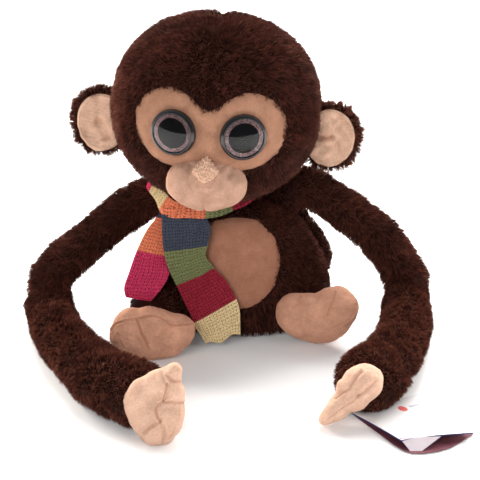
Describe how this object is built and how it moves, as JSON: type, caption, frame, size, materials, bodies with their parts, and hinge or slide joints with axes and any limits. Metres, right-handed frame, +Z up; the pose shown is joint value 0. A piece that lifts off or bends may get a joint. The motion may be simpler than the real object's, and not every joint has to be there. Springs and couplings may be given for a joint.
{
  "type": "stuffed monkey",
  "caption": "Seated plush monkey with long brown pile, bare tan face, big domed eyes, limp arms, striped knitted scarf and a folded paper tag.",
  "frame": {"origin": "centre of the bounding box at the surface the toy sits on", "axes": "+Z up, the toy faces -Y, +X is the toy's own left; the longest extent, across the spread arms, is along X"},
  "size_m": [0.306, 0.287, 0.2349],
  "materials": {
    "pile_fur": "long brown pile",
    "face_tan": "short nap",
    "muzzle_tan": "short nap",
    "hand_tan": "short nap",
    "foot_tan": "short nap",
    "belly_tan": "short nap",
    "ear_tan": "short nap",
    "nose_tan": "stitched nap",
    "stuffing": "polyester fibre",
    "pouch": "woven bag of pellets",
    "knit": "striped rib knit",
    "eye_black": "gloss black",
    "eye_glitter": "glitter",
    "eye_clear": "clear dome",
    "washer": "moulded",
    "card": "printed card",
    "thread": "black loop"
  },
  "bodies": {
    "torso": {"torso_cover": "pile_fur", "belly_patch": "belly_tan", "torso_stuffing": "stuffing", "pellet_pouch": "pouch", "scarf_neck_loop": "knit"},
    "neck": {"neck_stuffing": "stuffing"},
    "head": {"head_cover": "pile_fur", "head_stuffing": "stuffing", "face_panel": "face_tan", "muzzle_cover": "muzzle_tan", "muzzle_stuffing": "stuffing", "nose": "nose_tan", "right_eye_rim": "eye_black", "right_eye_iris": "eye_glitter", "right_eye_lens": "eye_clear", "right_eye_washer": "washer", "left_eye_rim": "eye_black", "left_eye_iris": "eye_glitter", "left_eye_lens": "eye_clear", "left_eye_washer": "washer"},
    "ear_right": {"right_ear_back": "pile_fur", "right_ear_lining": "ear_tan"},
    "ear_left": {"left_ear_back": "pile_fur", "left_ear_lining": "ear_tan"},
    "upper_arm_right": {"right_upper_arm_cover": "pile_fur", "right_upper_arm_stuffing": "stuffing"},
    "upper_arm_left": {"left_upper_arm_cover": "pile_fur", "left_upper_arm_stuffing": "stuffing"},
    "forearm_right": {"right_forearm_cover": "pile_fur", "right_forearm_stuffing": "stuffing"},
    "forearm_left": {"left_forearm_cover": "pile_fur", "left_forearm_stuffing": "stuffing"},
    "hand_right": {"right_hand_cover": "hand_tan", "right_hand_stuffing": "stuffing"},
    "hand_left": {"left_hand_cover": "hand_tan", "left_hand_stuffing": "stuffing", "tag_fastener": "thread"},
    "leg_right": {"right_leg_cover": "pile_fur", "right_leg_stuffing": "stuffing"},
    "leg_left": {"left_leg_cover": "pile_fur", "left_leg_stuffing": "stuffing"},
    "foot_right": {"right_foot_sole": "foot_tan", "right_foot_upper": "foot_tan", "right_foot_stuffing": "stuffing"},
    "foot_left": {"left_foot_sole": "foot_tan", "left_foot_upper": "foot_tan", "left_foot_stuffing": "stuffing"},
    "tail": {"tail_cover": "pile_fur", "tail_stuffing": "stuffing"},
    "scarf_front": {"scarf_front_tail": "knit"},
    "scarf_back": {"scarf_back_tail": "knit"},
    "tag": {"tag_card": "card"}
  },
  "joints": [
    {"name": "neck_turn", "type": "hinge", "parent": "torso", "child": "neck", "pos_m": [-0.00681, 0.06055, 0.104], "axis": [0, 0, 1], "range_deg": [-30, 30], "stiffness_Nm_per_rad": 0.25},
    {"name": "head_nod", "type": "hinge", "parent": "neck", "child": "head", "pos_m": [-0.00681, 0.06055, 0.104], "axis": [1, 0, 0], "range_deg": [-8, 5], "stiffness_Nm_per_rad": 0.6},
    {"name": "right_ear_fold", "type": "hinge", "parent": "head", "child": "ear_right", "pos_m": [-0.08681, 0.06175, 0.1559], "axis": [0.0522, -0.0036, 0.9986], "range_deg": [-20, 20], "stiffness_Nm_per_rad": 0.01},
    {"name": "left_ear_fold", "type": "hinge", "parent": "head", "child": "ear_left", "pos_m": [0.06089, 0.05045, 0.1482], "axis": [0.0522, -0.0036, 0.9986], "range_deg": [-20, 20], "stiffness_Nm_per_rad": 0.01},
    {"name": "right_shoulder", "type": "hinge", "parent": "torso", "child": "upper_arm_right", "pos_m": [-0.03481, 0.07355, 0.084], "axis": [1, 0, 0], "range_deg": [-60, 0]},
    {"name": "left_shoulder", "type": "hinge", "parent": "torso", "child": "upper_arm_left", "pos_m": [0.03219, 0.07355, 0.088], "axis": [1, 0, 0], "range_deg": [-60, 0]},
    {"name": "right_elbow", "type": "hinge", "parent": "upper_arm_right", "child": "forearm_right", "pos_m": [-0.13881, 0.05155, 0.0215], "axis": [0, 0, 1], "range_deg": [-30, 2]},
    {"name": "left_elbow", "type": "hinge", "parent": "upper_arm_left", "child": "forearm_left", "pos_m": [0.13169, 0.06055, 0.0215], "axis": [0, 0, 1], "range_deg": [-5, 30]},
    {"name": "right_wrist", "type": "hinge", "parent": "forearm_right", "child": "hand_right", "pos_m": [-0.06281, -0.09695, 0.0194], "axis": [0, 0, 1], "range_deg": [-20, 20]},
    {"name": "left_wrist", "type": "hinge", "parent": "forearm_left", "child": "hand_left", "pos_m": [0.09419, -0.07745, 0.0196], "axis": [0, 0, 1], "range_deg": [-20, 20]},
    {"name": "right_hip", "type": "hinge", "parent": "torso", "child": "leg_right", "pos_m": [-0.04181, 0.04355, 0.0245], "axis": [1, 0, 0], "range_deg": [-35, 0]},
    {"name": "left_hip", "type": "hinge", "parent": "torso", "child": "leg_left", "pos_m": [0.04519, 0.05255, 0.025], "axis": [1, 0, 0], "range_deg": [-22, 0]},
    {"name": "right_ankle", "type": "hinge", "parent": "leg_right", "child": "foot_right", "pos_m": [-0.05881, 0.01555, 0.0204], "axis": [1, 0, 0], "range_deg": [-20, 20]},
    {"name": "left_ankle", "type": "hinge", "parent": "leg_left", "child": "foot_left", "pos_m": [0.05919, 0.03955, 0.021], "axis": [1, 0, 0], "range_deg": [-8, 15]},
    {"name": "tail_base", "type": "hinge", "parent": "torso", "child": "tail", "pos_m": [0.01319, 0.11555, 0.02], "axis": [0, 0, 1], "range_deg": [0, 40]},
    {"name": "scarf_front_lift", "type": "hinge", "parent": "torso", "child": "scarf_front", "pos_m": [-0.03581, 0.02305, 0.101], "axis": [1, 0, 0], "range_deg": [-35, 0], "deforming": ["scarf_front_tail"]},
    {"name": "scarf_back_lift", "type": "hinge", "parent": "torso", "child": "scarf_back", "pos_m": [-0.05281, 0.02855, 0.09], "axis": [1, 0, 0], "range_deg": [-35, 0], "deforming": ["scarf_back_tail"]},
    {"name": "tag_swivel", "type": "hinge", "parent": "hand_left", "child": "tag", "pos_m": [0.09969, -0.09025, 0.001], "axis": [0, 0, 1], "range_deg": [-12, 12]}
  ]
}
